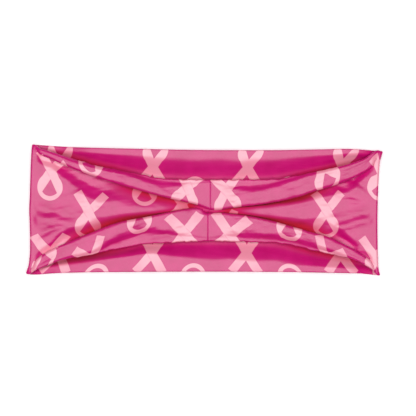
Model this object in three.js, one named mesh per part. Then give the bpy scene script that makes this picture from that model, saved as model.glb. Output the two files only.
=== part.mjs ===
// A wide stretch-knit headband, laid flat. One printed cloth panel is folded along its upper edge into a
// flat tube, closed along its lower edge by a seam, and joined end to end in a loop. At the front seam the
// tube is box-pleated to half its height, and two rows of tacking stitches hold the pleat.
// Millimetres: +X runs along the band, +Y across it to its upper edge, and +Z up from what it lies on.
import * as THREE from "three";

const { lerp, smoothstep } = THREE.MathUtils;

// Driving dimensions
const BAND_LENGTH = 248; // from one side turn to the other, at mid height
const BAND_WIDTH = 90; // from the lower edge to the upper edge
const CLOTH = 0.55; // thickness of the knitted cloth
const PLY_GAP = 0.3; // air between the tube's two plies
const LAYER_GAP = 0.3; // air between one layer of the pleat and the next
const LOOP_OPENING = 5.2; // height inside the loop beside its turns
const CORNER_FLARE = 3.6; // how far the corners reach past the sides
const SEAM_OFFSET = 4.3; // the front seam lies this far to the right of the middle
const PLEATED_HEIGHT = 43; // height of the front at its seam
const THREAD = 0.5; // diameter of the sewing thread
const CLEARANCE = 0.3; // gap between pieces that touch

// Shape of the pleat, as shares of the way from a side turn to the front seam
const FOLDED_SHARE = 0.3; // by here the folds lie flat
const TUCKED_SHARE = 0.8; // by here the tuck is as deep as at the seam
const LEVEL_SHARE = 0.3; // up to here the front lies level, and then it sinks to the back
const CREASE_BOW = 0.22; // how far the creases bow in from the straight line between corner and seam
const CREASE_INSET = 1.5; // the crease starts this far inside the corner

// What follows from them
const TUBE = 2 * CLOTH + PLY_GAP;
const PLY_START = PLY_GAP / 2; // from the tube's middle surface to the near face of a ply
const PLY_END = PLY_START + CLOTH;
const FOLD_RADIUS = (TUBE + LAYER_GAP) / 2;
const TURN_RADIUS = (LOOP_OPENING + TUBE) / 2;
const TURN_START = BAND_LENGTH / 2 - TURN_RADIUS - TUBE / 2;
const UPPER_REACH = BAND_WIDTH / 2 - TUBE / 2; // middle of the width to the centre of the upper fold
const LOWER_REACH = BAND_WIDTH / 2 - THREAD - CLEARANCE; // middle of the width to the lower ends of the plies
const BACK_LEVEL = TUBE / 2;
const FRONT_LEVEL = BACK_LEVEL + 2 * TURN_RADIUS;
const UNDERLAY_LEVEL = TUBE + LAYER_GAP + TUBE / 2;
const SEAM_HALF_GAP = THREAD / 2 + CLEARANCE;

// Places across the band count its stretches out from the middle: the underlay, the hidden fold, the tuck,
// the crease and the flap. They are negative below the middle, and past LAST they go round the upper fold.
const LAST = 5;
const FOLD_STEPS = 4;
const HALF_PLACES = [0, 0.35, 0.6, 0.8, 1, ...steps(1, 2), 2.5, 3, ...steps(3, 4), 4.5, LAST];
const ACROSS = [...HALF_PLACES.slice(1).reverse().map((t) => -t), ...HALF_PLACES];
const ROUND_THE_FOLD = [...steps(LAST, LAST + 1), LAST + 1];

function steps(from, to) {
  return Array.from({ length: FOLD_STEPS - 1 }, (_, i) => lerp(from, to, (i + 1) / FOLD_STEPS));
}

const reachOf = (t) => (t < 0 ? LOWER_REACH : UPPER_REACH);

// How far out the side turn starts, where the corners flare with the fourth power of the width
function turnStart(t, y) {
  return TURN_START + CORNER_FLARE * Math.min(1, Math.abs(y) / reachOf(t)) ** 4;
}

// One half of the front's cross-section: lengths and turns from the middle of the underlay to the edge
function halfSection(share, t) {
  const reach = reachOf(t);
  const angle = Math.PI * smoothstep(share, 0, FOLDED_SHARE);
  const bend = FOLD_RADIUS * angle;
  const seamTuck = (reach - 2 * Math.PI * FOLD_RADIUS - PLEATED_HEIGHT / 2) / 2;
  const tuck = seamTuck * Math.min(1, share / TUCKED_SHARE);
  const bowedIn = 1 - CREASE_BOW * smoothstep(share, 0, FOLDED_SHARE);
  const crease = lerp(CLEARANCE, (reach - CREASE_INSET) * bowedIn, 1 - share);
  const foldedOver = (1 - Math.cos(angle)) / 2;
  const underlay = crease + (tuck + FOLD_RADIUS + TUBE / 2) * foldedOver;
  return [
    { length: underlay, turn: 0 },
    { length: bend, turn: angle },
    { length: tuck, turn: 0 },
    { length: bend, turn: -angle },
    { length: reach - underlay - 2 * bend - tuck, turn: 0 },
  ];
}

// The point and heading at a place along such a half-section
function walk(section, t) {
  let y = 0;
  let z = 0;
  let heading = 0;
  section.forEach(({ length, turn }, i) => {
    const share = Math.min(1, Math.max(0, t - i));
    if (turn) {
      const radius = length / turn;
      const next = heading + turn * share;
      y += radius * (Math.sin(next) - Math.sin(heading));
      z += radius * (Math.cos(heading) - Math.cos(next));
      heading = next;
    } else {
      y += length * share * Math.cos(heading);
      z += length * share * Math.sin(heading);
    }
  });
  return { y, z, heading };
}

// Each stretch of the band gives, for a share of its own length and a place across, the point on the tube's
// middle surface, the way out of the loop, and the way across towards the upper edge.
function onBack(share, t) {
  const { y } = walk(halfSection(0, t), Math.abs(t));
  const across = t < 0 ? -y : y;
  const reach = turnStart(t, across) - CLEARANCE;
  return {
    point: new THREE.Vector3(lerp(-reach, reach, share), across, BACK_LEVEL),
    outward: new THREE.Vector3(0, 0, -1),
    across: new THREE.Vector3(0, 1, 0),
  };
}

const onTurn = (side) => (share, t) => {
  const { y } = walk(halfSection(0, t), Math.abs(t));
  const across = t < 0 ? -y : y;
  const angle = lerp(-Math.PI / 2, Math.PI / 2, share);
  const outward = new THREE.Vector3(side * Math.cos(angle), 0, Math.sin(angle));
  const centre = new THREE.Vector3(side * turnStart(t, across), across, BACK_LEVEL + TURN_RADIUS);
  return {
    point: centre.addScaledVector(outward, TURN_RADIUS),
    outward,
    across: new THREE.Vector3(0, 1, 0),
  };
};

const CORNER_CROWDING = 1.4; // above 1, the front's steps crowd towards the side turn, where it folds
const onFront = (side) => (along, t) => {
  const share = along ** CORNER_CROWDING;
  const sign = t < 0 ? -1 : 1;
  const { y, z, heading } = walk(halfSection(share, t), Math.abs(t));
  const start = side * (turnStart(t, y) - CLEARANCE);
  const level = lerp(FRONT_LEVEL, UNDERLAY_LEVEL, smoothstep(share, LEVEL_SHARE, 1));
  const end = SEAM_OFFSET + side * SEAM_HALF_GAP;
  return {
    point: new THREE.Vector3(lerp(start, end, share), sign * y, level + z),
    outward: new THREE.Vector3(0, -sign * Math.sin(heading), Math.cos(heading)),
    across: new THREE.Vector3(0, Math.cos(heading), sign * Math.sin(heading)),
  };
};

// A place on the band, moved out of the middle surface; past LAST it goes round the upper fold
function offset({ point, outward, across }, t, out) {
  const round = Math.max(0, t - LAST) * Math.PI;
  return point
    .clone()
    .addScaledVector(outward, out * Math.cos(round))
    .addScaledVector(across, out * Math.sin(round));
}

// Turns a closed geometry's faces to point outwards, whichever way its corners were carried
function facingOut(geometry) {
  const { index, attributes } = geometry;
  const corner = (i) => new THREE.Vector3().fromBufferAttribute(attributes.position, index.getX(i));
  let volume = 0;
  for (let i = 0; i < index.count; i += 3) {
    volume += corner(i).dot(corner(i + 1).cross(corner(i + 2)));
  }
  if (volume < 0) {
    for (let i = 0; i < index.count; i += 3) {
      const second = index.getX(i + 1);
      index.setX(i + 1, index.getX(i + 2));
      index.setX(i + 2, second);
    }
  }
  geometry.computeVertexNormals();
  return geometry;
}

// Carries every corner of a geometry that fits a unit box, centred on the origin, to its place on the band
function carried(geometry, place) {
  const { position } = geometry.attributes;
  for (let i = 0; i < position.count; i++) {
    const { x, y, z } = place(position.getX(i) + 0.5, position.getY(i) + 0.5, position.getZ(i) + 0.5);
    position.setXYZ(i, x, y, z);
  }
  return facingOut(geometry);
}

const cloth = new THREE.MeshStandardMaterial({ name: "cloth", color: 0xcb1276, roughness: 0.55, metalness: 0 });
const sewing = new THREE.MeshStandardMaterial({ name: "thread", color: 0xa80f5c, roughness: 0.6, metalness: 0 });
const band = new THREE.Group();

function add(name, geometry, material) {
  const mesh = new THREE.Mesh(geometry, material);
  mesh.name = name;
  band.add(mesh);
}

// A ply of cloth over one stretch. The outer ply goes round the upper fold and the inner one stops short of it.
function addPly(name, stretch, alongSteps, outer) {
  const places = outer ? [...ACROSS, ...ROUND_THE_FOLD] : ACROSS;
  const spans = places.length - 1;
  const side = outer ? 1 : -1;
  const geometry = new THREE.BoxGeometry(1, 1, 1, alongSteps, spans, 1);
  const place = (along, up, through) => {
    const t = places[Math.round(up * spans)];
    const spot = stretch(along, Math.min(t, LAST));
    if (!outer && t === LAST) spot.point.addScaledVector(spot.across, -CLEARANCE);
    return offset(spot, t, side * lerp(PLY_START, PLY_END, through));
  };
  add(name, carried(geometry, place), cloth);
}

const THREAD_SIDES = 8;

// The closing seam's thread, just below the lower ends of the plies
function addClosingThread(name, stretch, alongSteps) {
  const geometry = new THREE.CylinderGeometry(0.5, 0.5, 1, THREAD_SIDES, alongSteps);
  add(
    name,
    carried(geometry, (x, along, z) => {
      const { point, outward, across } = stretch(along, -LAST);
      return point
        .addScaledVector(across, -CLEARANCE - THREAD / 2 + THREAD * (x - 0.5))
        .addScaledVector(outward, THREAD * (z - 0.5));
    }),
    sewing,
  );
}

// A thread in the front seam, through the places given, at a distance out of the tube's middle surface
function addSeamThread(name, places, out) {
  const spans = places.length - 1;
  const geometry = new THREE.CylinderGeometry(0.5, 0.5, 1, THREAD_SIDES, spans);
  add(
    name,
    carried(geometry, (x, up, z) => {
      const spot = onFront(1)(1, places[Math.round(up * spans)]);
      spot.point.x = SEAM_OFFSET + THREAD * (x - 0.5);
      return spot.point.addScaledVector(spot.outward, out + THREAD * (z - 0.5));
    }),
    sewing,
  );
}

const TURN_STEPS = 8;
const FRONT_STEPS = 14;
const stretches = [
  ["back", onBack, 2],
  ["left_turn", onTurn(-1), TURN_STEPS],
  ["right_turn", onTurn(1), TURN_STEPS],
  ["front_left", onFront(-1), FRONT_STEPS],
  ["front_right", onFront(1), FRONT_STEPS],
];
for (const [name, stretch, alongSteps] of stretches) {
  addPly(name + "_outer_ply", stretch, alongSteps, true);
  addPly(name + "_inner_ply", stretch, alongSteps, false);
  addClosingThread(name + "_closing_thread", stretch, alongSteps);
}

// The two threads of the front seam follow the pleat, one in each ply
const plyMiddle = (PLY_START + PLY_END) / 2;
addSeamThread("front_seam_outer_thread", ACROSS, plyMiddle);
addSeamThread("front_seam_inner_thread", ACROSS, -plyMiddle);

// The tacking rows lie over the outer thread, each along its own flap
const tackLevel = plyMiddle + THREAD + CLEARANCE;
const FLAP_PLACES = [4.1, 4.5, LAST - 0.1];
addSeamThread("upper_pleat_tack", FLAP_PLACES, tackLevel);
addSeamThread("lower_pleat_tack", FLAP_PLACES.map((t) => -t), tackLevel);

export default band;
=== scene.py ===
import math

import bmesh
import bpy
import numpy as np
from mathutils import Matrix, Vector


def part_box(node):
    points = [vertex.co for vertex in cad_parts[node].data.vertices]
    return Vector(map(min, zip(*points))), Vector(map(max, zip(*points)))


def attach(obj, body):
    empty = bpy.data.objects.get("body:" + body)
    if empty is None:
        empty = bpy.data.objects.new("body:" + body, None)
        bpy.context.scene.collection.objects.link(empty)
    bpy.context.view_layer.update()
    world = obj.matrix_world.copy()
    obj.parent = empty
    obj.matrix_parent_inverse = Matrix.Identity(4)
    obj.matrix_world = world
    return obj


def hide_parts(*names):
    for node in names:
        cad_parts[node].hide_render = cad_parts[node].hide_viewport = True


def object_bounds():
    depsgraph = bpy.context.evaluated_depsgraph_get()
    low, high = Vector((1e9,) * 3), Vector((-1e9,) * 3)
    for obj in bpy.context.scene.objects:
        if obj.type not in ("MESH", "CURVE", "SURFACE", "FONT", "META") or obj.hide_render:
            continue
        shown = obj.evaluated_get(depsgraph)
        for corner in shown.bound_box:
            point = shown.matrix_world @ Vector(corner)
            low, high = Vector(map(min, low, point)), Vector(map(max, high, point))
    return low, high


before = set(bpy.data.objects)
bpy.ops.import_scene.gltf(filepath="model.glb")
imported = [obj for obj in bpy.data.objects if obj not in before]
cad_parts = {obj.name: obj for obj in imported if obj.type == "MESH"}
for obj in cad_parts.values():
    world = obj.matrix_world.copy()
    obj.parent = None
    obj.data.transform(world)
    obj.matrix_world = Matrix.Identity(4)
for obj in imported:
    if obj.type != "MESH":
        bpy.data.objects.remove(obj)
cadLow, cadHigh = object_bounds()
mm = 0.001
print("frame loaded,", len(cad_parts), "nodes")

# places that the frame gives, in millimetres
seamLow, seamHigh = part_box("front_seam_outer_thread")
place = {
    "halfLength": cadHigh.x / mm,
    "halfWidth": cadHigh.y / mm,
    "seamX": (seamLow.x + seamHigh.x) / 2 / mm,
}


# small tools

def smoothCurve(points):
    # a curve through a few points, that never swings past them
    xs, ys = np.array(sorted(points)).T
    steps = np.diff(ys) / np.diff(xs)
    slopes = np.zeros(len(xs))
    slopes[0], slopes[-1] = steps[0], steps[-1]
    for i in range(1, len(steps)):
        if steps[i - 1] * steps[i] > 0:
            slopes[i] = 2 * steps[i - 1] * steps[i] / (steps[i - 1] + steps[i])

    def at(t):
        t = np.clip(t, xs[0], xs[-1])
        i = np.clip(np.searchsorted(xs, t, side="right") - 1, 0, len(xs) - 2)
        width = xs[i + 1] - xs[i]
        u = (t - xs[i]) / width
        rise = ys[i] * (1 + 2 * u) * (1 - u) ** 2 + ys[i + 1] * u * u * (3 - 2 * u)
        lean = slopes[i] * u * (1 - u) ** 2 - slopes[i + 1] * u * u * (1 - u)
        return rise + lean * width

    return at


def ease(t, start=0.0, end=1.0):
    u = np.clip((t - start) / (end - start), 0, 1)
    return u * u * (3 - 2 * u)


def crowdedEnds(count, crowding):
    # steps from 0 to 1 that are finer near both ends
    u = np.linspace(0, 1, count + 1)
    return u - crowding * np.sin(2 * np.pi * u) / (2 * np.pi)


def softNoise(x, y, seed):
    # smooth ripples from a few long waves, roughly from -1 to 1
    rng = np.random.default_rng(seed)
    total = np.zeros(np.broadcast(x, y).shape)
    for octave in range(3):
        turn, shift = rng.uniform(0, 2 * np.pi, 2)
        lean = rng.uniform(-0.5, 0.5)
        scale = 1.9 ** octave
        total = total + np.sin(scale * (x + lean * y) * 2 * np.pi + turn) * np.sin(
            scale * (y - lean * x) * 2 * np.pi + shift) / scale
    return total / 1.5


# the cloth: one panel, folded along its upper edge into a flat tube and joined end to end

cloth = {
    "halfThickness": 0.72,      # of the two-ply tube
    "puff": 3.9,                # half thickness of the puffed edges behind the front
    "puffSlope": {1: 20.0, -1: 16.0},   # how wide the slope inside each puffed edge is, above and below
    "puffLimit": 0.84,          # the slope's widest, as a share of what the front leaves bare
    "puffRoom": 14.0,           # where the front leaves less than this bare, the edge is flatter
    "cornerPuff": 0.5,          # the slope's share of its width at the lower left corner
    "capDepth": 1.2,            # how far a puffed edge's rounding goes in, at most
    "capSquareness": 0.5,
    "capLength": 0.82,          # cloth round an edge, for each millimetre of its rise and depth
    "capBlend": 5.0,
    "edgeRadius": 0.95,         # of the front's own folded edges
    "turnHeight": 6.4,          # between the middle surfaces of back and front at the side turns
    "turnDepth": 0.9,
    "turnSquareness": 0.36,     # 1 is a round turn, less is squarer
    "turnClosing": 1.5,         # how much lower the turns are at the band's very edges
    "turnClosingPower": 16,
    "seamHigh": 0.3,            # the front seam's place above and below the pinch
    "seamLow": -1.5,
    "seamStep": (-1.6, 1.2),    # where across the band it steps from one to the other
    "seamMeeting": 0.95,        # from here on, both sides of the front are led to one section
    "seamGap": 0.03,
    "seamThin": 0.75,           # share of the thickness at the seam's own groove
    "seamGroove": 0.24,         # and how far from the seam the groove reaches
    "seamAllowance": 4.0,
    "allowanceInset": 0.5,      # the turned-in borders start this far inside the lower edge
    "allowanceGap": 0.15,
    "lowestFront": 2.65,        # the front's middle surface comes no lower than this
    "backSteps": 64,
    "turnSteps": 14,
    "frontSteps": 100,
    "plySteps": 150,
    "middleSteps": 361,
    "crowding": {"front": 0.6, "back": 0.6, "ply": 0.3},    # how much finer the steps are at both ends
}
halfWidth = place["halfWidth"]

# how uneven the cloth is, in millimetres: a ripple's height and its lengths along and across the band
uneven = {
    "edge": 0.42,               # how far the pleat's edge wanders in and out
    "edgeWaves": (9.0, 27.0),   # long and short waves from a side turn to the seam
    "edgeSeeds": {("left", 1): 3, ("left", -1): 4, ("right", 1): 6, ("right", -1): 7},
    "puffShare": 0.16,
    "puffWave": 21.0,
    "dents": (0.1, 17, 8),
    "ripples": [(0.3, 46, 13, 5), (0.1, 17, 7, 8)],     # and a seed
}

# the outline seen from above, in millimetres: how far out each side reaches at a share of the width, and
# how far the upper and lower edges lie from the middle along the band
outline = {
    "left": [(-1, 127.6), (-0.92, 126.3), (-0.84, 125.3), (-0.6, 124.4), (-0.25, 124.6), (0, 125),
             (0.2, 124.6), (0.5, 124.2), (0.9, 123.4), (1, 123)],
    "right": [(-1, 126.3), (-0.93, 125.2), (-0.8, 124.6), (-0.2, 124.1), (0.2, 124.4), (0.6, 125.2),
              (0.8, 125.8), (0.93, 127.2), (1, 128.2)],
    "upper": [(-123, 46.9), (-95, 45.1), (-50, 43.9), (5, 42.9), (43, 42.8), (88, 43.5), (102, 43.8),
              (116, 43), (128, 41.9)],
    "lower": [(-127, 45.6), (-123, 46.4), (-104, 45.2), (-77, 44.6), (5, 44.2), (61, 44.5), (88, 45),
              (111, 45.5), (122, 46.6), (127, 47)],
}
# the front's four quarters, from the side turn (0) to the front seam (1). Distances are from the middle of
# the band: edge of the pleat, its crease, where its top starts and stops falling and by how much, and how
# far the underlay stays level
pleat = {
    ("left", 1): {
        "edge": [(0, 45), (0.05, 43.4), (0.11, 41.2), (0.2, 37.6), (0.34, 32.2), (0.56, 26.6),
                 (0.76, 22.2), (1, 21.6)],
        "crease": [(0, 44.2), (0.05, 39.6), (0.13, 34.8), (0.21, 30.4), (0.34, 24.4), (0.51, 17.4),
                   (0.67, 11.5), (0.77, 8.2), (0.86, 5.6), (0.92, 3.8), (0.96, 1.9), (1, 0.2)],
        "fallStart": [(0, 44.4), (0.1, 39.8), (0.2, 35), (0.34, 29.4), (0.56, 23), (0.66, 18.2),
                      (0.76, 15.4), (0.88, 16), (1, 19)],
        "fallEnd": [(0, 44.8), (0.1, 41.3), (0.2, 37), (0.34, 31.8), (0.56, 26.2), (0.66, 23), (0.76, 21),
                    (1, 21.3)],
        "fall": [(0, 0.1), (0.1, 1.2), (0.3, 2.1), (0.6, 2.6), (0.76, 2.6), (0.9, 0.8), (1, 0.6)],
        "level": [(0, 44), (0.1, 30.5), (0.2, 19), (0.28, 11), (0.36, 5.2), (0.47, 3.4), (0.58, 1.6),
                  (0.7, 1), (0.9, 0.8), (0.93, 3), (1, 1)],
        "slope": [(0, 4), (0.1, 5), (0.2, 9), (0.4, 14), (0.5, 17), (1, 17)],
    },
    ("left", -1): {
        "edge": [(0, 45), (0.04, 41.6), (0.08, 39.2), (0.19, 35.8), (0.31, 33), (0.49, 28.2),
                 (0.66, 24.4), (1, 22.2)],
        "crease": [(0, 44.2), (0.03, 36.4), (0.1, 29.4), (0.21, 23), (0.34, 16), (0.5, 8.6), (0.66, 4.7),
                   (0.78, 1.4), (0.92, -1.6), (0.97, -0.6), (1, 0)],
        "fallStart": [(0, 44.4), (0.2, 33.4), (0.36, 28), (0.47, 18.5), (0.58, 13.2), (0.65, 11.5),
                      (0.72, 12.4), (0.85, 15), (1, 18)],
        "fallEnd": [(0, 44.8), (0.2, 35.2), (0.36, 31), (0.47, 25.5), (0.58, 21), (0.65, 18.6),
                    (0.72, 18.2), (0.85, 20), (1, 21.6)],
        "fall": [(0, 0.1), (0.2, 1), (0.36, 1.6), (0.5, 3.6), (0.65, 3.4), (0.75, 1.6), (0.88, 1),
                 (1, 0.6)],
        "level": [(0, 44), (0.05, 30), (0.1, 23), (0.2, 12), (0.28, 9), (0.36, 5), (0.5, 3), (0.65, 1.6),
                  (1, 0.2)],
        "slope": [(0, 4), (0.1, 7), (0.4, 10), (1, 10)],
    },
    ("right", 1): {
        "edge": [(0, 45), (0.05, 39.2), (0.13, 35.2), (0.23, 31.4), (0.36, 28), (0.5, 24.4), (0.63, 22),
                 (1, 21.6)],
        "crease": [(0, 44), (0.03, 32), (0.1, 25.7), (0.2, 20.2), (0.29, 16.3), (0.37, 13.6),
                   (0.45, 10.1), (0.6, 5.8), (0.75, 3), (0.82, 2.2), (0.93, 0.2), (1, -0.8)],
        "fallStart": [(0, 44.4), (0.1, 35), (0.29, 27.6), (0.41, 23.8), (0.52, 19), (0.6, 16),
                      (0.7, 12.4), (0.79, 12), (0.9, 14), (1, 18)],
        "fallEnd": [(0, 44.8), (0.1, 36.4), (0.29, 29.6), (0.41, 26.6), (0.52, 23.4), (0.6, 21),
                    (0.7, 18.4), (0.79, 18), (0.9, 19.5), (1, 21.3)],
        "fall": [(0, 0.1), (0.1, 0.8), (0.3, 1.5), (0.5, 2), (0.65, 2.6), (0.75, 3), (0.85, 1.6),
                 (1, 0.6)],
        "level": [(0, 43.4), (0.05, 27), (0.1, 18), (0.17, 11), (0.29, 8.8), (0.38, 7.4), (0.45, 5),
                  (0.6, 2.8), (0.8, 1), (1, 0.2)],
        "slope": [(0, 4), (0.1, 8), (0.29, 8), (0.4, 5), (0.6, 3), (1, 2)],
    },
    ("right", -1): {
        "edge": [(0, 45), (0.04, 42), (0.12, 36.8), (0.2, 33.6), (0.36, 29.6), (0.46, 26.6), (0.6, 23.6),
                 (1, 22.2)],
        "crease": [(0, 44.2), (0.03, 38), (0.08, 32.4), (0.17, 26), (0.28, 19.6), (0.38, 16),
                   (0.52, 11.2), (0.63, 7.4), (0.75, 4.4), (0.82, 3.2), (0.93, 1.9), (1, 2.6)],
        "fallStart": [(0, 44.4), (0.12, 35), (0.2, 31), (0.3, 26.5), (0.41, 21.5), (0.6, 16), (0.75, 15),
                      (0.88, 15.5), (1, 18)],
        "fallEnd": [(0, 44.8), (0.12, 36.4), (0.2, 33.2), (0.3, 29.8), (0.41, 26.8), (0.6, 22.2),
                    (0.75, 21.4), (1, 21.8)],
        "fall": [(0, 0.1), (0.12, 0.8), (0.3, 2.2), (0.41, 3), (0.6, 3.5), (0.75, 3), (0.88, 1.5),
                 (1, 0.6)],
        "level": [(0, 43.4), (0.06, 31), (0.13, 21), (0.2, 13), (0.29, 6.4), (0.38, 5.4), (0.51, 5),
                  (0.63, 4.2), (0.8, 2), (0.93, 1.2), (1, 2)],
        "slope": [(0, 4), (0.1, 6), (0.2, 8), (0.29, 11), (0.45, 8), (0.63, 4), (1, 2)],
    },
}
# heights of the tube's middle surface in the front
ridgeHeights = [(0, 7.12), (0.06, 8.2), (0.2, 9.3), (0.45, 9.0), (0.7, 7.8), (0.88, 6.4), (1, 5.7)]
height = {
    "left": {
        "middle": [(0, 7.12), (0.2, 7.3), (0.4, 7.7), (0.6, 7.0), (0.75, 5.4), (0.88, 3.6), (0.92, 4.4),
                   (1, 4.4)],
        "valley": [(0, 7.12), (0.06, 5.4), (0.2, 4.0), (0.4, 3.0), (0.7, 2.6), (1, 2.5)],
        "ridge": ridgeHeights,
    },
    "right": {
        "middle": [(0, 7.12), (0.2, 7.2), (0.45, 7.4), (0.7, 6.4), (0.89, 4.0), (0.94, 4.4), (1, 4.4)],
        "valley": [(0, 7.12), (0.06, 5.4), (0.2, 4.0), (0.4, 2.8), (0.7, 2.5), (1, 2.5)],
        "ridge": ridgeHeights,
    },
}
# the hidden fold, where the underlay turns back under the pleat, and the roll at the pleat's crease
fold = {
    "depth": 0.5,
    "rise": 1.7,
    "least": 0.8,               # the least room for the underlay, and between the fold and the pleat's edge
    "noseRadius": smoothCurve([(0, 0.4), (0.08, 1.1), (0.3, 1.3), (1, 1.1)]),
}
outlineCurves = {name: smoothCurve(points) for name, points in outline.items()}
pleatCurves = {key: {name: smoothCurve(points) for name, points in q.items()} for key, q in pleat.items()}
heightCurves = {key: {name: smoothCurve(points) for name, points in q.items()} for key, q in height.items()}
middleWidth = np.linspace(-halfWidth, halfWidth, cloth["middleSteps"])


def splineThrough(controls):
    # a smooth curve drawn along its control points, level where it starts in the middle of the band
    points = np.array(controls, float)
    first = points[1] * (-1, 1)
    last = 2 * points[-1] - points[-2]
    p = np.vstack([first, points, last])
    stepsBetween = 24
    u = np.linspace(0, 1, stepsBetween, endpoint=False)[:, None, None]
    a, b, c, d = p[:-3], p[1:-2], p[2:-1], p[3:]
    line = ((1 - u) ** 3 * a + (3 * u ** 3 - 6 * u ** 2 + 4) * b
            + (-3 * u ** 3 + 3 * u ** 2 + 3 * u + 1) * c + u ** 3 * d) / 6
    line = line.transpose(1, 0, 2).reshape(-1, 2)
    return np.vstack([line, points[-1]])


def mix(a, b, share):
    return a + (b - a) * share


def edgeWobble(side, up, share):
    # how far the pleat's edge is off its curve: not at the side turns, and less at the seam
    seed = uneven["edgeSeeds"][side, up]
    longWave, shortWave = uneven["edgeWaves"]
    wave = softNoise(np.array(share * longWave), np.array(0.3), seed) + 0.5 * softNoise(
        np.array(share * shortWave), np.array(0.7), seed + 20)
    return float(wave * uneven["edge"] * ease(share, 0.1, 0.3) * (1 - 0.6 * ease(share, 0.9, 1)))


def halfSection(side, up, share):
    # one half of the front's cross-section, as (out, height) at each step of the cloth from the middle out
    q = {name: float(curve(share)) for name, curve in pleatCurves[side, up].items()}
    q["edge"] += edgeWobble(side, up, share)
    h = {name: float(curve(share)) for name, curve in heightCurves[side].items()}
    edge, crease, start, end = q["edge"], q["crease"], q["fallStart"], q["fallEnd"]
    middle, valley, ridge = h["middle"], h["valley"], h["ridge"]
    low = max(ridge - q["fall"], cloth["lowestFront"])
    r = float(fold["noseRadius"](share))
    under = max(crease, fold["least"])
    level = min(q["level"], 0.8 * under)
    slopeEnd = min(level + q["slope"], under)
    crease += ease(share, 0, 0.1) * (cloth["halfThickness"] + 0.5 * r)
    foldTop = valley + fold["rise"]
    tuck = max(0.2, (halfWidth - edge) / 2)
    # the tuck takes up whatever cloth is left over, in a few rounds
    for _ in range(5):
        hidden = min(crease + tuck, edge - fold["least"])
        line = splineThrough([
            # the underlay: level, down its slope, and out along the valley
            (0, middle),
            (mix(0, level, 0.7), middle),
            (level, middle),
            (mix(level, slopeEnd, 0.25), mix(middle, valley, 0.12)),
            (mix(level, slopeEnd, 0.75), mix(middle, valley, 0.88)),
            (slopeEnd, valley),
            (mix(slopeEnd, hidden, 0.5), valley),
            # the hidden fold, and back in to the crease
            (hidden, valley),
            (hidden + fold["depth"], valley + fold["rise"] / 2),
            (hidden, foldTop),
            (mix(crease, hidden, 0.5), mix(foldTop, ridge - 1.6, 0.5)),
            (mix(crease, hidden, 0.15), ridge - 1.8 * r),
            # the roll at the crease, and the pleat's top out to its edge
            (crease - 0.8 * r, ridge - 1.2 * r),
            (crease - 0.6 * r, ridge + 0.1),
            (mix(crease, start, 0.35), ridge + 0.15),
            (mix(crease, start, 0.75), ridge),
            (start, mix(ridge, low, 0.04)),
            (mix(start, end, 0.35), mix(ridge, low, 0.2)),
            (mix(start, end, 0.65), mix(ridge, low, 0.85)),
            (end, low),
            (mix(end, edge, 0.5), low),
            (edge, low),
        ])
        along = np.concatenate([[0], np.cumsum(np.hypot(*np.diff(line, axis=0).T))])
        tuck = min(max(tuck + (halfWidth - along[-1]) / 2, 0.2), max(edge - crease - 1.0, 0.2))
    cut = along / along[-1] * halfWidth
    steps = middleWidth[middleWidth >= 0]
    return np.interp(steps, cut, line[:, 0]), np.interp(steps, cut, line[:, 1])


def spread(x, w):
    # moves a place across the band out to the outline there
    reach = np.where(w > 0, outlineCurves["upper"](x), outlineCurves["lower"](x))
    return w * reach / halfWidth


def turnStart(side, w):
    sign = -1 if side == "left" else 1
    return sign * (outlineCurves[side](w / halfWidth) - cloth["turnDepth"] - cloth["halfThickness"])


def edgeDrop(w):
    # the turns close up at the band's edges
    return cloth["turnClosing"] * np.abs(w / halfWidth) ** cloth["turnClosingPower"]


def seamPlace(y):
    # the front seam steps a little sideways where the pleat is pinched
    return place["seamX"] + mix(cloth["seamLow"], cloth["seamHigh"], ease(y, *cloth["seamStep"]))


def section(side, share):
    # the front's whole cross-section, as (y, height)
    out, rise = halfSection(side, 1, share)
    outBelow, riseBelow = halfSection(side, -1, share)
    return np.stack([np.concatenate([-outBelow[:0:-1], out]), np.concatenate([riseBelow[:0:-1], rise])])


# both ends of the front meet halfway at the seam
seamShift = (section("right", 1.0) - section("left", 1.0)) / 2


def frontStation(side, share):
    # the middle surface across the front at one share of the way from the side turn to the seam
    meet = seamShift * ease(share, cloth["seamMeeting"], 1) * (1 if side == "left" else -1)
    y, z = section(side, share) + meet
    blend = ease(share, 0, 0.04)
    gap = cloth["seamGap"] * (-1 if side == "left" else 1)
    x = mix(turnStart(side, middleWidth), seamPlace(y) + gap, share)
    z = mix(cloth["halfThickness"] + cloth["turnHeight"] - edgeDrop(middleWidth), z, blend)
    y = mix(spread(x, middleWidth), y, blend)
    return np.stack([x, y, z], 1)


def turnStation(side, angle):
    # the middle surface at one angle round a side turn, from the front (90 degrees) to the back
    sign = -1 if side == "left" else 1
    rise = (cloth["turnHeight"] - edgeDrop(middleWidth)) / 2
    square = cloth["turnSquareness"]
    x = turnStart(side, middleWidth) + sign * cloth["turnDepth"] * math.cos(angle) ** square
    bend = math.copysign(abs(math.sin(angle)) ** square, math.sin(angle))
    z = cloth["halfThickness"] + rise * (1 + bend)
    return np.stack([x, spread(x, middleWidth), z], 1)


def backStation(share):
    x = mix(turnStart("left", middleWidth), turnStart("right", middleWidth), share)
    return np.stack([x, spread(x, middleWidth), np.full_like(x, cloth["halfThickness"])], 1)


def buildStations():
    # every station round the loop from the seam, by the left turn, back to the seam
    shares = crowdedEnds(cloth["frontSteps"], cloth["crowding"]["front"])
    angles = np.linspace(math.pi / 2, -math.pi / 2, cloth["turnSteps"] + 1)[1:-1]
    backShares = crowdedEnds(cloth["backSteps"], cloth["crowding"]["back"])
    made = [("left", s, frontStation("left", s)) for s in shares[::-1]]
    made += [("turn", a, turnStation("left", a)) for a in angles]
    made += [("back", s, backStation(s)) for s in backShares]
    made += [("turn", a, turnStation("right", a)) for a in angles[::-1]]
    made += [("right", s, frontStation("right", s)) for s in shares]
    return made


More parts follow.
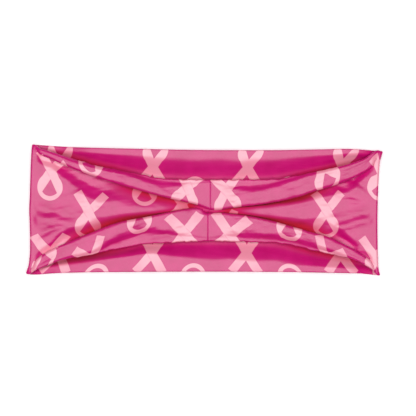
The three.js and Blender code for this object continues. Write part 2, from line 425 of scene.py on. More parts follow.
def frontShare(x):
    # the side of the seam that a place along the band is on, and its share of the way to the seam
    side = "left" if x < place["seamX"] else "right"
    start = float(turnStart(side, np.array(0.0)))
    return side, float(np.clip((x - start) / (place["seamX"] - start), 0, 1))


def frontEdgeAt(x, up):
    # how far out the front's own edge lies at a place along the band
    side, share = frontShare(x)
    return float(pleatCurves[side, up]["edge"](share))


def halfThickness(kind, x):
    # half the tube's thickness at each place across a station
    thin = cloth["halfThickness"]
    result = np.full_like(middleWidth, thin)
    if kind == "back":
        for up in (1, -1):
            edge = frontEdgeAt(x, up)
            room = ease(halfWidth - edge, 0, cloth["puffRoom"])
            ripple = softNoise(np.array(x / uneven["puffWave"]), np.array(up * 0.4), 12)
            slope = cloth["puffSlope"][up] * (1.0 + uneven["puffShare"] * ripple)
            slope = min(slope, cloth["puffLimit"] * (halfWidth - edge))
            if up < 0 and x < place["seamX"]:
                slope *= mix(cloth["cornerPuff"], 1, ease(frontShare(x)[1], 0.6, 1))
            swell = ease(up * middleWidth, edge - 0.5, edge - 0.5 + max(slope, 1)) * room
            size, alongWave, acrossWave = uneven["dents"]
            dents = size * softNoise(x / alongWave, middleWidth / acrossWave, 14 + up)
            swollen = thin + (cloth["puff"] - thin) * swell + dents * np.sin(np.pi * swell)
            result = np.where(up * middleWidth > 0, swollen, result)
    return result


def fabricSteps():
    # places across the panel, measured from the upper fold: the outer ply below 0, the inner one above it
    ply = crowdedEnds(cloth["plySteps"], cloth["crowding"]["ply"]) * 2 * halfWidth
    turned = 2 * halfWidth + np.linspace(1, cloth["seamAllowance"], 4)
    half = np.concatenate([ply, turned])
    return np.concatenate([-half[:0:-1], half])


def tubeStation(kind, share, line, normal, fabric):
    # wraps the panel round the middle surface: out along the outer ply, back along the inner one
    x = float(line[len(line) // 2, 0])
    thickness = halfThickness(kind, x)
    pinch = 1.0
    if kind in ("left", "right"):
        fromSeam = (1 - share) * place["halfLength"]
        groove = 1 - min(fromSeam / cloth["seamGroove"], 1)
        pinch = mix(cloth["seamThin"], 1, math.sqrt(1 - groove ** 2))
    ply = np.where(fabric < 0, 1.0, -1.0)
    far = np.abs(fabric)
    up = np.where(far <= halfWidth, 1.0, -1.0)
    least = cloth["edgeRadius"] if kind in ("left", "right") else cloth["halfThickness"]
    highRise, lowRise = max(thickness[-1], least), max(thickness[0], least)
    highDepth, lowDepth = min(highRise, cloth["capDepth"]), min(lowRise, cloth["capDepth"])
    highCap, lowCap = cloth["capLength"] * (highRise + highDepth), cloth["capLength"] * (lowRise + lowDepth)
    rise = np.where(up > 0, highRise, lowRise)
    depth = np.where(up > 0, highDepth, lowDepth)
    cap = np.where(up > 0, highCap, lowCap)
    square = np.where(rise > 1, cloth["capSquareness"], 1.0)
    tip = np.minimum(far, 2 * halfWidth - far)
    inCap = (tip < cap) & (tip >= 0)
    turnedIn = tip < 0
    turn = np.clip(tip / cap, 0, 1) * math.pi / 2
    between = (far - highCap) / (2 * halfWidth - highCap - lowCap)
    flat = mix(halfWidth - highDepth, lowDepth - halfWidth, between)
    w = np.where(inCap, up * (halfWidth - depth + depth * np.cos(turn) ** square), flat)
    w = np.where(turnedIn, -(halfWidth - cloth["allowanceInset"]) - tip, w)
    inner = np.interp(w, middleWidth, thickness)
    beyondCap = mix(rise, inner, ease(tip, cap, cap + cloth["capBlend"]))
    offset = np.where(inCap, rise * np.sin(turn) ** square, beyondCap)
    offset = np.where(turnedIn, cloth["allowanceGap"], offset) * pinch
    lift = 0 * w
    if kind == "back":
        lift = np.where(inCap, rise, beyondCap) - cloth["halfThickness"]
        lift = np.where(turnedIn, lowRise - cloth["halfThickness"], lift)
    spot = np.stack([np.interp(w, middleWidth, line[:, k]) for k in range(3)], 1)
    out = np.stack([np.interp(w, middleWidth, normal[:, k]) for k in range(3)], 1)
    spot += out * (ply * offset)[:, None]
    spot[:, 2] += lift
    return spot


# soft creases in the front's middle part, each up on one side and down on the other: from (x, y) to (x, y),
# half width and height
creases = [
    ((-129, -0.6), (-86, -8.2), 5.4, 2.1),
    ((90, -11.6), (122, -3.2), 4.0, 1.7),
    ((95, 9.4), (114, 6.2), 2.0, 0.7),
    ((-108, 7), (-82, 13), 4.2, 0.8),
    ((98, 24), (118, 12), 3.6, 1.2),
    ((-122, -21), (-98, -12), 3.6, 0.9),
    ((97, -22), (119, -30), 3.4, 0.9),
]


def creaseDepth(x, w):
    # how far the soft creases press the front down at each place
    total = 0 * w
    for (x0, y0), (x1, y1), width, depth in creases:
        dx, dy = x1 - x0, y1 - y0
        share = ((x - x0) * dx + (w - y0) * dy) / (dx * dx + dy * dy)
        near = np.clip(share, 0, 1)
        away = np.hypot(x - x0 - near * dx, w - y0 - near * dy)
        side = (dx * (w - y0) - dy * (x - x0)) / math.hypot(dx, dy) / width
        total = total + depth * side * np.exp(-(away / width) ** 2) * np.sin(np.pi * mix(0.15, 0.85, near))
    return total


def wrinkles(made, middle):
    # soft uneven places along the front, which fade out at its seam and its side turns
    shares = np.array([s[1] if s[0] in ("left", "right") else 0.0 for s in made])[:, None]
    x = middle[:, :, 0]
    w = middleWidth[None, :] + 0 * x
    soft = 0 * x
    for size, alongWave, acrossWave, seed in uneven["ripples"]:
        soft = soft + softNoise(x / alongWave, w / acrossWave, seed) * size
    fade = ease(shares, 0, 0.12) * (1 - ease(shares, 0.86, 0.97)) * (1 - ease(np.abs(w), 40, 44))
    front = np.array([s[0] in ("left", "right") for s in made])[:, None]
    return soft * fade - creaseDepth(x, w) * front * ease(shares, 0, 0.04)


def buildCloth():
    # the panel's points, its steps across and its distances along, both in millimetres of cloth
    made = buildStations()
    middle = np.array([s[2] for s in made])
    middle[:, :, 2] += wrinkles(made, middle)
    alongTangent = np.gradient(middle, axis=0)
    acrossTangent = np.gradient(middle, axis=1)
    normal = np.cross(acrossTangent, alongTangent)
    normal /= np.linalg.norm(normal, axis=2, keepdims=True)
    steps = fabricSteps()
    spots = np.array([tubeStation(*made[i][:2], middle[i], normal[i], steps) for i in range(len(made))])
    centre = middle[:, cloth["middleSteps"] // 2]
    lengths = np.linalg.norm(np.diff(centre, axis=0), axis=1)
    return made, steps, spots, np.concatenate([[0], np.cumsum(lengths)]), centre[:, 0]


stations, fabric, points, along, centreX = buildCloth()


# the print: ribbons in columns round the band, every other column moved half a step

everywhere = (-400, 400)    # limits across the cloth that leave nothing out

ribbons = {
    "columnStep": 67.7,
    "columns": range(-1, 9),
    "firstColumns": (46.5, 19.5),               # distance from the front seam along the cloth
    "outerRows": ((-74, -18), (-102, -46)),     # distance from the upper fold across it
    "innerRows": ((41.5, 101), (15.4, 74.2)),
    "innerShift": (1.2, -1.6),
    "outerEnds": (4, -6),                       # how far inside the side turns the print's grid ends
    "innerEnds": (-10, 10),
    # on the front, where the pleat hides much of the print: how far along the band, how far across the
    # cloth, clockwise tilt, stretch, and, where a fold hides the rest, the part of the cloth it is drawn on
    "front": [
        (-110, 26.2, 3, 1),
        (-110.5, -30.4, 1, 1.22, -34, 90),
        (-115.8, -27.6, -12, 1, -90, -34),
        (-82, -1.4, 5, 1.04),
        (-77.8, -47.4, -21, 1),
        (-79.2, 54.6, 18, 1),
        (-42.5, 22.6, 3, 1, -90, 28),
        (-46.2, -15.5, -3, 1, -90, -12),
        (-12.5, 39, 12, 1.1),
        (-13, -38, -2, 1.2),
        (-16.3, 4, 3, 1, -14, 20),
        (15.2, 36.4, -6, 1.08),
        (19.4, -39, 8, 1.25),
        (17.8, -15.9, -20, 1, -8, 20),
        (61.9, -20.5, 3, 1, -90, -15),
        (87.8, -0.6, 1, 1),
        (81.5, 46, -28, 1),
        (86, -48, 24, 1),
        (126.3, 27, 6, 1),
        (122.6, -32.6, 0, 1),
    ],
    "tilt": 3.0,
    "farthest": 40.0,           # no part of a ribbon is further along the cloth than this from its crossing
    "tailReach": 16.2,
    "tailLean": 37.0,
    "halfStroke": 3.0,
    "loopLean": 31.0,
    "strokeEnd": -7.0,
    "loopCentre": -10.9,
    "loopRadius": 9.0,
    "holeTop": -5.6,
    "holeLean": 31.0,
    "holeCentre": -10.4,
    "holeRadius": 6.6,
    "endShade": 0.55,           # how much the tails darken towards their ends, from where, and how softly
    "endShadeFrom": 10.5,
    "endShadeSoft": 6.0,
    "overlapLine": 0.3,         # the fine line beside the strand that passes over
    "overlapShade": 0.6,
}


def ribbonPlaces():
    # (along, across, tilt, stretch, first, last) of each ribbon's crossing, in millimetres of cloth
    frontEnd = along[cloth["frontSteps"]]
    backEnd = along[-1] - frontEnd
    outerStart, outerEnd = frontEnd + ribbons["outerEnds"][0], backEnd + ribbons["outerEnds"][1]
    innerStart, innerEnd = frontEnd + ribbons["innerEnds"][0], backEnd + ribbons["innerEnds"][1]
    places = []
    for k, first in enumerate(ribbons["firstColumns"]):
        for column in ribbons["columns"]:
            spot = first + column * ribbons["columnStep"]
            for row in ribbons["outerRows"][k]:
                if outerStart < spot < outerEnd:
                    places.append((spot, row, ribbons["tilt"], 1, *everywhere))
            for row in ribbons["innerRows"][k]:
                if innerStart < spot < innerEnd:
                    places.append((spot + ribbons["innerShift"][k], row, ribbons["tilt"], 1, *everywhere))
    for x, w, tilt, stretch, *limits in ribbons["front"]:
        first, last = limits or everywhere
        places.append((alongFront(x), w - halfWidth, tilt, stretch, first - halfWidth, last - halfWidth))
    return np.array(places)


def alongFront(x):
    # distance along the cloth of a place on the front
    steps = cloth["frontSteps"] + 1
    start, end = (0, steps) if x < place["seamX"] else (len(along) - steps, len(along))
    xs, far = centreX[start:end][::-1], along[start:end][::-1]
    beyond = min(x - xs[0], 0) + max(x - xs[-1], 0)
    return float(np.interp(x, xs, far)) - beyond


ribbonCentres = ribbonPlaces()


# how much painted shade darkens the cavities beside the pleat, along the way from a side turn (0) to the
# front seam (1)
paintedShadeSettings = {
    "from": {("left", 1): 0.5, ("left", -1): 0.23, ("right", 1): 0.3, ("right", -1): 0.28},
    "fadeIn": (-0.1, 0.12),     # each cavity starts to darken round its own place above
    "fadeOut": (0.88, 0.96),
    "least": 0.25,              # what is left of it at the seam
    "shut": (0.38, 0.88),       # from all shut in to open, as shares of the sky that a place sees
    "between": (-6, 6),         # where across the band the lower cavity gives way to the upper one
    # the painted shadow on the back just out of the front's edge: its strength along the way, and its reach
    "edge": smoothCurve([(0, 0), (0.08, 0.2), (0.18, 0.8), (0.4, 0.8), (0.6, 0.2), (1, 0.15)]),
    "edgeReach": (1.2, 2.6),    # how far out of the front's edge the painted shadow on the back reaches, at the turns and inward
    "smoothings": 2,
}
slopeAngles = (6, 20)           # degrees of lean at which the cloth counts as level, and as sloping


def frontPaintedShade(i, outer):
    # the painted shade on each place of one station of the front, from how far it is shut in by the folds
    # beside it
    y, z = points[i, outer, 1], points[i, outer, 2]
    across, up = y[None] - y[:, None], z[None] - z[:, None]
    angle = np.arctan2(up, np.abs(across) + 1e-6)
    right = np.where(across > 0.05, angle, 0).max(1)
    left = np.where(across < -0.05, angle, 0).max(1)
    shut = 1 - ease(1 - (np.clip(left, 0, 2) + np.clip(right, 0, 2)) / math.pi, *paintedShadeSettings["shut"])
    side, share = stations[i][:2]
    start, end = paintedShadeSettings["fadeIn"]
    high, low = [ease(share, paintedShadeSettings["from"][side, up] + start, paintedShadeSettings["from"][side, up] + end)
                 for up in (1, -1)]
    seamFade = 1 - (1 - paintedShadeSettings["least"]) * ease(share, *paintedShadeSettings["fadeOut"])
    return shut * mix(low, high, ease(y, *paintedShadeSettings["between"])) * seamFade


def paintedShadePlaces():
    # painted shade and painted shadow: 0 in the open, 1 deep in a fold or just behind the front's edge
    paintedShade = np.zeros(points.shape[:2])
    outer = np.where(fabric <= 0)[0]
    inner = np.where(fabric > 0)[0]
    frontSteps, backSteps = cloth["frontSteps"] + 1, cloth["backSteps"] + 1
    for i in [*range(frontSteps), *range(len(points) - frontSteps, len(points))]:
        paintedShade[i, outer] = frontPaintedShade(i, outer)
    first = cloth["frontSteps"] + cloth["turnSteps"]
    for i in range(first, first + backSteps):
        share = frontShare(centreX[i])[1]
        reach = mix(*paintedShadeSettings["edgeReach"], ease(share, 0.05, 0.25))
        for up in (1, -1):
            edge = frontEdgeAt(centreX[i], up)
            w = up * (halfWidth - fabric[inner])
            near = 1 - ease(w, edge - 1, edge + reach)
            paintedShade[i, inner] = np.where(w > 0, near * paintedShadeSettings["edge"](share), paintedShade[i, inner])
    for _ in range(paintedShadeSettings["smoothings"]):
        paintedShade[1:-1] = (paintedShade[:-2] + 2 * paintedShade[1:-1] + paintedShade[2:]) / 4
        paintedShade[:, 1:-1] = (paintedShade[:, :-2] + 2 * paintedShade[:, 1:-1] + paintedShade[:, 2:]) / 4
    return paintedShade


def slopePlaces():
    # 1 where the cloth leans well over, 0 where it lies flat: the mask for the painted shade on the ribbons
    normal = np.cross(np.gradient(points, axis=0), np.gradient(points, axis=1))
    size = np.linalg.norm(normal, axis=2) + 1e-12
    angle = np.degrees(np.arccos(np.clip(np.abs(normal[:, :, 2]) / size, 0, 1)))
    return ease(angle, *slopeAngles)


uvPerMm = 0.01              # one unit of both UV maps is 100 mm of cloth


def gridObject(name, positions, uvs, values):
    # a grid whose points are moved to the given places, in millimetres
    rows, columns = positions.shape[:2]
    bm = bmesh.new()
    bmesh.ops.create_grid(bm, x_segments=rows - 1, y_segments=columns - 1, size=0.5)
    keys = []
    for v in bm.verts:
        i = round((v.co.x + 0.5) * (rows - 1))
        j = round((v.co.y + 0.5) * (columns - 1))
        keys.append((i, j))
        v.co = Vector(positions[i, j] * mm)
    layers = {n: bm.loops.layers.uv.new(n) for n in uvs}
    for face in bm.faces:
        face.smooth = True
        corners = [keys[loop.vert.index] for loop in face.loops]
        for n, layer in layers.items():
            for loop, uv in zip(face.loops, uvs[n](corners)):
                loop[layer].uv = uv
    numbers = {n: bm.verts.layers.float.new(n) for n in values}
    for v, (i, j) in zip(bm.verts, keys):
        for n, layer in numbers.items():
            v[layer] = float(values[n][i, j])
    mesh = bpy.data.meshes.new(name)
    bm.to_mesh(mesh)
    bm.free()
    made = bpy.data.objects.new(name, mesh)
    bpy.context.scene.collection.objects.link(made)
    return made


def sineCosine(degrees):
    return math.sin(math.radians(degrees)), math.cos(math.radians(degrees))


def ribbonDistance(x, y):
    # roughly how far a place is from the ribbon's own line
    reach = ribbons["tailReach"]
    sine, cosine = sineCosine(ribbons["tailLean"])
    side = np.abs(x)
    share = np.clip(side * sine + y * cosine, 0, reach)
    tail = np.hypot(side - share * sine, y - share * cosine)
    loop = np.abs(np.hypot(x, y - ribbons["loopCentre"]) - 0.75 * ribbons["loopRadius"])
    return np.minimum(tail, loop)


def turned(away, tilt, stretch):
    # places measured from a ribbon's crossing, turned into its own frame
    sine, cosine = np.sin(np.radians(tilt)), np.cos(np.radians(tilt))
    sideways = -(away[..., 0] * cosine + away[..., 1] * sine) / stretch
    return sideways, -away[..., 0] * sine + away[..., 1] * cosine


def printUV(corners):
    # each face's corners, measured from the nearest ribbon
    spots = np.array([(along[i], fabric[j]) for i, j in corners])
    middle = spots.mean(0)
    shown = (ribbonCentres[:, 4] <= middle[1]) & (middle[1] <= ribbonCentres[:, 5])
    near = ribbonCentres[shown & (np.abs(ribbonCentres[:, 0] - middle[0]) < ribbons["farthest"])]
    if len(near) == 0:
        return np.ones((len(spots), 2))
    nearest = near[np.argmin(ribbonDistance(*turned(middle - near[:, :2], near[:, 2], near[:, 3])))]
    return np.stack(turned(spots - nearest[:2], nearest[2], nearest[3]), 1) * uvPerMm


def clothUV(corners):
    return [(along[i] * uvPerMm, fabric[j] * uvPerMm) for i, j in corners]


headband = gridObject("headband_cloth", points, {"cloth": clothUV, "print": printUV},
                      {"paintedShade": paintedShadePlaces(), "slope": slopePlaces()})
print("headband made,", len(headband.data.polygons), "faces")


# a small helper for shader nodes

class Shade:
    def __init__(self, tree):
        self.tree = tree

    def node(self, kind, inputs=(), **settings):
        made = self.tree.nodes.new(kind)
        for name, value in settings.items():
            setattr(made, name, value)
        for key, value in dict(inputs).items():
            if isinstance(value, bpy.types.NodeSocket):
                self.tree.links.new(value, made.inputs[key])
            else:
                made.inputs[key].default_value = value
        return made

    def math(self, operation, a, b=0.0, c=0.0):
        return self.node("ShaderNodeMath", {0: a, 1: b, 2: c}, operation=operation).outputs[0]

    def times(self, a, b):
        return self.math("MULTIPLY", a, b)

    def timesPlus(self, a, b, c):
        return self.math("MULTIPLY_ADD", a, b, c)

    def minus(self, a, b):
        return self.math("SUBTRACT", a, b)

    def least(self, a, b):
        return self.math("MINIMUM", a, b)

    def most(self, a, b):
        return self.math("MAXIMUM", a, b)

    def size(self, a):
        return self.math("ABSOLUTE", a)

    def step(self, value, edge=0.0, soft=0.25):
        # 1 where value is above the edge, with a soft border
        limits = {"Value": value, "From Min": edge - soft, "From Max": edge + soft}
        made = self.node("ShaderNodeMapRange", limits, interpolation_type="SMOOTHSTEP")
        return made.outputs["Result"]

    def blend(self, factor, a, b):
        made = self.node("ShaderNodeMix", data_type="RGBA", clamp_factor=True)
        colours = [socket for socket in made.inputs if socket.type == "RGBA"]
        for socket, value in zip([made.inputs["Factor"], *colours], [factor, a, b]):
            if isinstance(value, bpy.types.NodeSocket):
                self.tree.links.new(value, socket)
            else:
                socket.default_value = value
        return [socket for socket in made.outputs if socket.type == "RGBA"][0]


def ribbonMask(shade):
    # the ribbon drawn round the origin of the print's coordinates, worked out in millimetres: 1 inside it,
    # and how much its own shading darkens it, towards the tails' ends and where one strand passes over
    r = ribbons
    uv = shade.node("ShaderNodeUVMap", uv_map="print").outputs["UV"]
    parts = shade.node("ShaderNodeSeparateXYZ", {0: uv})
    signed = shade.times(parts.outputs["X"], 1 / uvPerMm)
    x = shade.size(signed)
    y = shade.times(parts.outputs["Y"], 1 / uvPerMm)

    def across(sine, cosine):
        return shade.timesPlus(x, cosine, shade.times(y, -sine))

    # the two tails, cut square at their ends
    half = r["halfStroke"]
    sine, cosine = sineCosine(r["tailLean"])
    reach = shade.timesPlus(x, sine, shade.times(y, cosine))
    tail = shade.minus(half, shade.size(across(sine, cosine)))
    tail = shade.least(tail, shade.minus(r["tailReach"], reach))
    tail = shade.least(tail, shade.math("ADD", y, half))
    # their shading, and the line beside the strand that passes over
    ends = shade.times(shade.step(reach, r["endShadeFrom"], r["endShadeSoft"]), r["endShade"])
    over = shade.timesPlus(signed, cosine, shade.times(y, sine))
    rim = shade.size(shade.minus(shade.size(over), half))
    rim = shade.minus(r["overlapLine"], rim)
    near = shade.minus(1.0, shade.step(shade.size(y), half + 1.0, 1.5))
    near = shade.times(near, r["overlapShade"])
    line = shade.times(shade.step(rim, 0.0, 0.2), near)
    shading = shade.most(ends, line)
    # the strokes from the crossing down into the loop
    sine, cosine = sineCosine(r["loopLean"])
    stroke = shade.minus(half, shade.size(across(-sine, cosine)))
    stroke = shade.least(stroke, shade.minus(y, r["strokeEnd"]))
    stroke = shade.least(stroke, shade.minus(half, y))

    def disc(centre, radius):
        lift = shade.minus(y, centre)
        far = shade.math("SQRT", shade.timesPlus(x, x, shade.times(lift, lift)))
        return shade.minus(radius, far)

    # the loop, and the hole in it
    sine, cosine = sineCosine(r["holeLean"])
    fromTop = shade.minus(r["holeTop"], y)
    wedge = shade.timesPlus(fromTop, sine, shade.times(x, -cosine))
    hole = shade.least(wedge, disc(r["holeCentre"], r["holeRadius"]))
    whole = shade.most(tail, stroke)
    whole = shade.most(whole, disc(r["loopCentre"], r["loopRadius"]))
    return shade.step(shade.least(whole, shade.minus(0.0, hole))), shading


knit = {
    "wale": 0.62,               # millimetres between the knit's ribs, and between its rows
    "course": 0.46,
    "relief": 0.005,
    "ribShare": 0.6,            # how much of the stitch's relief is ribs, and the rest is rows
    "cloud": {"Scale": 9.0, "Detail": 4.0},
    "speck": {"Scale": 160.0, "Detail": 2.0},
    "toneShares": {"cloud": 2.6, "speck": 1.2, "stitch": 0.12},
    "ground": ((0.57, 0.001, 0.152, 1), (0.65, 0.004, 0.184, 1)),
    "ribbon": ((0.88, 0.38, 0.48, 1), (0.92, 0.44, 0.54, 1)),
    # painted shade: the darker, redder colours of the ground and the ribbons deep in the folds and just
    # behind the front's edge
    "paintedShadeGround": (0.54, 0.001, 0.026, 1),
    "paintedShadeRibbon": (0.7, 0.09, 0.17, 1),
    # painted shade: the ribbons' darker colour where the cloth slopes
    "paintedSlopeShadeRibbon": (0.9, 0.28, 0.4, 1),
    "shadedRibbon": (0.84, 0.22, 0.37, 1),
    "roughness": 0.33,
    "deepRoughness": 0.95,
    "dulling": 2.5,             # how quickly the gloss goes towards a cavity
    "sheenWeight": 0.06,
    "sheenRoughness": 0.4,
    "sheenTint": (1.0, 0.5, 0.7, 1),
}


def clothMaterial():
    material = bpy.data.materials.new("printedKnit")
    material.use_nodes = True
    shade = Shade(material.node_tree)
    shader = material.node_tree.nodes["Principled BSDF"]
    uv = shade.node("ShaderNodeUVMap", uv_map="cloth").outputs["UV"]
    parts = shade.node("ShaderNodeSeparateXYZ", {0: uv})
    turn = 2 * math.pi / uvPerMm
    wale = shade.math("SINE", shade.times(parts.outputs["X"], turn / knit["wale"]))
    course = shade.math("SINE", shade.times(parts.outputs["Y"], turn / knit["course"]))
    rows = shade.times(course, 1 - knit["ribShare"])
    stitch = shade.timesPlus(wale, knit["ribShare"], rows)
    cloud = shade.node("ShaderNodeTexNoise", {"Vector": uv, **knit["cloud"]}).outputs["Fac"]
    speck = shade.node("ShaderNodeTexNoise", {"Vector": uv, **knit["speck"]}).outputs["Fac"]
    shares = knit["toneShares"]
    tone = shade.timesPlus(shade.minus(cloud, 0.5), shares["cloud"], 0.5)
    tone = shade.timesPlus(shade.minus(speck, 0.5), shares["speck"], tone)
    tone = shade.timesPlus(stitch, shares["stitch"], tone)
    ground = shade.blend(tone, *knit["ground"])
    pale = shade.blend(tone, *knit["ribbon"])
    # painted shade: the cavities and the strip just behind the front's edge get a darker, redder colour
    paintedShade = shade.node("ShaderNodeAttribute", attribute_name="paintedShade").outputs["Fac"]
    ground = shade.blend(paintedShade, ground, knit["paintedShadeGround"])
    # painted shade: the ribbons are painted darker where the cloth slopes, and darker and redder in the
    # cavities
    slope = shade.node("ShaderNodeAttribute", attribute_name="slope").outputs["Fac"]
    ribbon, shading = ribbonMask(shade)
    pale = shade.blend(shading, pale, knit["shadedRibbon"])
    pale = shade.blend(paintedShade, shade.blend(slope, pale, knit["paintedSlopeShadeRibbon"]), knit["paintedShadeRibbon"])
    colour = shade.blend(ribbon, ground, pale)
    shade.tree.links.new(colour, shader.inputs["Base Color"])
    relief = shade.node("ShaderNodeBump", {"Height": stitch, "Distance": knit["relief"] * mm})
    relief.inputs["Strength"].default_value = 1.0
    shade.tree.links.new(relief.outputs["Normal"], shader.inputs["Normal"])
    dull = shade.least(shade.times(paintedShade, knit["dulling"]), 1.0)
    dull = shade.timesPlus(dull, knit["deepRoughness"] - knit["roughness"], knit["roughness"])
    shade.tree.links.new(dull, shader.inputs["Roughness"])
    shader.inputs["Sheen Weight"].default_value = knit["sheenWeight"]
    shader.inputs["Sheen Roughness"].default_value = knit["sheenRoughness"]
    shader.inputs["Sheen Tint"].default_value = knit["sheenTint"]
    return material


headband.data.materials.append(clothMaterial())
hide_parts(*[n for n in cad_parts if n.endswith("_ply")])
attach(headband, "root")


# thread: the front seam's stitches, its overlocked edge and the closing seam along the lower edge

thread = {
    "colour": (0.5, 0.02, 0.16, 1),
    "grooveShadeShare": 0.75,          # of the colour, painted shade in the grooves between the thread's twists
    "twistScale": 900.0,
    "roughness": 0.5,
    "radius": 0.12,
    "endTaper": 0.45,
    "sides": 8,
    "stitch": 1.7,
    "stitchRows": (-20.5, 21),  # how far across the band the front seam's stitches go
    "stitchReach": 0.55,
    "stitchSink": 0.1,
    "stitchEnds": 0.25,         # how much deeper a stitch's ends are
    "stitchSlant": 0.15,
    "pleatTop": 4.9,            # only cloth above this height is the top of the pleat
    "overlockPitch": 2.1,
    "overlockSteps": 12,        # for each turn
    "overlockSize": (0.55, 0.3),
    "closingPitch": 2.6,
    "closingDepth": 2.0,        # how far into the turned-in borders
    "closingSpots": (0, 0.6, 1.2, 1.7),
    "closingEnds": 2.0,
}


def threadMaterial():
    material = bpy.data.materials.new("sewingThread")
    material.use_nodes = True
    shade = Shade(material.node_tree)
    shader = material.node_tree.nodes["Principled BSDF"]
    where = shade.node("ShaderNodeTexCoord").outputs["Object"]
    twist = shade.node("ShaderNodeTexWave", {"Vector": where, "Scale": thread["twistScale"]},
                       bands_direction="DIAGONAL")
    # painted shade in the grooves between the thread's twists
    dark = [thread["grooveShadeShare"] * c for c in thread["colour"][:3]] + [1]
    colour = shade.blend(twist.outputs["Fac"], thread["colour"], dark)
    shade.tree.links.new(colour, shader.inputs["Base Color"])
    shader.inputs["Roughness"].default_value = thread["roughness"]
    return material


sewing = threadMaterial()


def tubeRun(bm, path):
    # a round thread along a few points, closed at both ends, in millimetres
    sides = thread["sides"]
    turns = [2 * math.pi * k / sides for k in range(sides)]
    offAxis = Vector((0.13, 0.21, 0.97))    # a direction that no thread runs in
    rings = []
    for i, spot in enumerate(path):
        ahead = Vector(path[min(i + 1, len(path) - 1)]) - Vector(path[max(i - 1, 0)])
        ahead.normalize()
        side = ahead.cross(offAxis).normalized()
        rise = side.cross(ahead)
        thin = thread["radius"] * (thread["endTaper"] if i in (0, len(path) - 1) else 1)
        rings.append([bm.verts.new((Vector(spot) + thin * (math.cos(t) * side + math.sin(t) * rise)) * mm)
                      for t in turns])
    for a, b in zip(rings, rings[1:]):
        for k in range(sides):
            n = (k + 1) % sides
            bm.faces.new((a[k], b[k], b[n], a[n])).smooth = True
    bm.faces.new(rings[0])
    bm.faces.new(rings[-1][::-1])


def threadPiece(name, paths, replaced):
    bm = bmesh.new()
    for path in paths:
        tubeRun(bm, path)
    bmesh.ops.recalc_face_normals(bm, faces=bm.faces)
    mesh = bpy.data.meshes.new(name)
    bm.to_mesh(mesh)
    bm.free()
    mesh.materials.append(sewing)
    made = bpy.data.objects.new(name, mesh)
    bpy.context.scene.collection.objects.link(made)
    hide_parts(*replaced)
    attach(made, "root")


def seamStitches():
    # short stitches across the front seam, a little below its cloth
    outer = np.where((fabric < -2) & (fabric > 2 - 2 * halfWidth))[0]
    line = (points[0, outer] + points[-1, outer]) / 2
    top = line[:, 2] > thread["pleatTop"]
    reach, slant = thread["stitchReach"], thread["stitchSlant"]
    paths = []
    for y in np.arange(*thread["stitchRows"], thread["stitch"]):
        near = np.argmin(np.abs(line[:, 1] - y) + 100 * ~top)
        x, _, z = line[near]
        z -= thread["stitchSink"]
        low = z - thread["stitchEnds"]
        paths.append([(x - reach, y - slant, low), (x - 0.3 * reach, y - slant / 3, z),
                      (x + 0.3 * reach, y + slant / 3, z), (x + reach, y + slant, low)])
    return paths


def overlockLoops():
    # the looper thread round the seam's turned-back edge, inside the loop
    low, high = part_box("front_seam_inner_thread")
    x, z = (low.x + high.x) / 2 / mm, (low.z + high.z) / 2 / mm
    length = (high.y - low.y) / mm
    wide, tall = thread["overlockSize"]
    steps = int(length / thread["overlockPitch"]) * thread["overlockSteps"]
    path = []
    for k in range(steps + 1):
        turn = 2 * math.pi * k / thread["overlockSteps"]
        y = low.y / mm + length * k / steps
        path.append((x + wide * math.cos(turn), y, z + tall * math.sin(turn)))
    return [path]


def closingStitches():
    # small stitches where the tube's two borders meet, all along its lower edge
    depth = 2 * halfWidth + thread["closingDepth"]
    border = [int(np.argmin(np.abs(fabric - across))) for across in (-depth, depth)]
    line = (points[:, border[0]] + points[:, border[1]]) / 2
    step = np.concatenate([[0], np.cumsum(np.linalg.norm(np.diff(line, axis=0), axis=1))])
    ends = thread["closingEnds"]
    paths = []
    for start in np.arange(ends, step[-1] - ends, thread["closingPitch"]):
        paths.append([tuple(np.interp(start + t, step, line[:, k]) for k in range(3))
                      for t in thread["closingSpots"]])
    return paths


threadPiece("front_seam_stitches", seamStitches(),
            ["front_seam_outer_thread", "upper_pleat_tack", "lower_pleat_tack"])
threadPiece("front_seam_overlock", overlockLoops(), ["front_seam_inner_thread"])
threadPiece("closing_seam_stitches", closingStitches(),
            [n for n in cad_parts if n.endswith("closing_thread")])
print("thread made")


# floor, light and camera

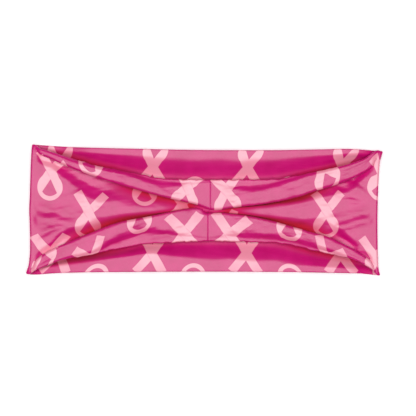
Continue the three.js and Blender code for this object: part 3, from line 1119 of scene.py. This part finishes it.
studio = {
    "lightHeight": 2.2,
    "lightHalfAngle": 28,
    "lightRadiance": 4.3,
    "cameraHeight": 2.0,
    "viewWidth": 0.2983,
    "sensorWidth": 36,
    "centre": (0.0029, 0.0014),
    "floorHalfSize": 4,
    "floorDrop": 0.0002,
    "floorColour": (0.85, 0.85, 0.85, 1),
    "floorRoughness": 0.9,
    "floorGlow": 0.3,
    "roomLight": (0.07, 0.07, 0.07, 1),
}


def makeStudio():
    bm = bmesh.new()
    bmesh.ops.create_grid(bm, x_segments=1, y_segments=1, size=studio["floorHalfSize"])
    mesh = bpy.data.meshes.new("floor")
    bm.to_mesh(mesh)
    bm.free()
    floor = bpy.data.objects.new("floor", mesh)
    floor.location.z = -studio["floorDrop"]
    bpy.context.scene.collection.objects.link(floor)
    paint = bpy.data.materials.new("paleFloor")
    paint.use_nodes = True
    shader = paint.node_tree.nodes["Principled BSDF"]
    shader.inputs["Base Color"].default_value = studio["floorColour"]
    shader.inputs["Roughness"].default_value = studio["floorRoughness"]
    shader.inputs["Emission Color"].default_value = (1, 1, 1, 1)
    shader.inputs["Emission Strength"].default_value = studio["floorGlow"]
    mesh.materials.append(paint)

    radius = studio["lightHeight"] * math.tan(math.radians(studio["lightHalfAngle"]))
    lamp = bpy.data.lights.new("softbox", "AREA")
    lamp.shape = "DISK"
    lamp.size = 2 * radius
    lamp.energy = studio["lightRadiance"] * math.pi * math.pi * radius ** 2
    softbox = bpy.data.objects.new("softbox", lamp)
    softbox.location = (0, 0, studio["lightHeight"])
    bpy.context.scene.collection.objects.link(softbox)

    world = bpy.data.worlds.new("studio")
    world.use_nodes = True
    world.node_tree.nodes["Background"].inputs["Color"].default_value = studio["roomLight"]
    bpy.context.scene.world = world


def makeCamera():
    data = bpy.data.cameras.new("camera")
    data.sensor_width = studio["sensorWidth"]
    data.lens = studio["sensorWidth"] * studio["cameraHeight"] / studio["viewWidth"]
    camera = bpy.data.objects.new("camera", data)
    camera.location = (*studio["centre"], studio["cameraHeight"])
    bpy.context.scene.collection.objects.link(camera)
    bpy.context.scene.camera = camera


makeStudio()
makeCamera()
bpy.context.scene.view_settings.view_transform = "Standard"
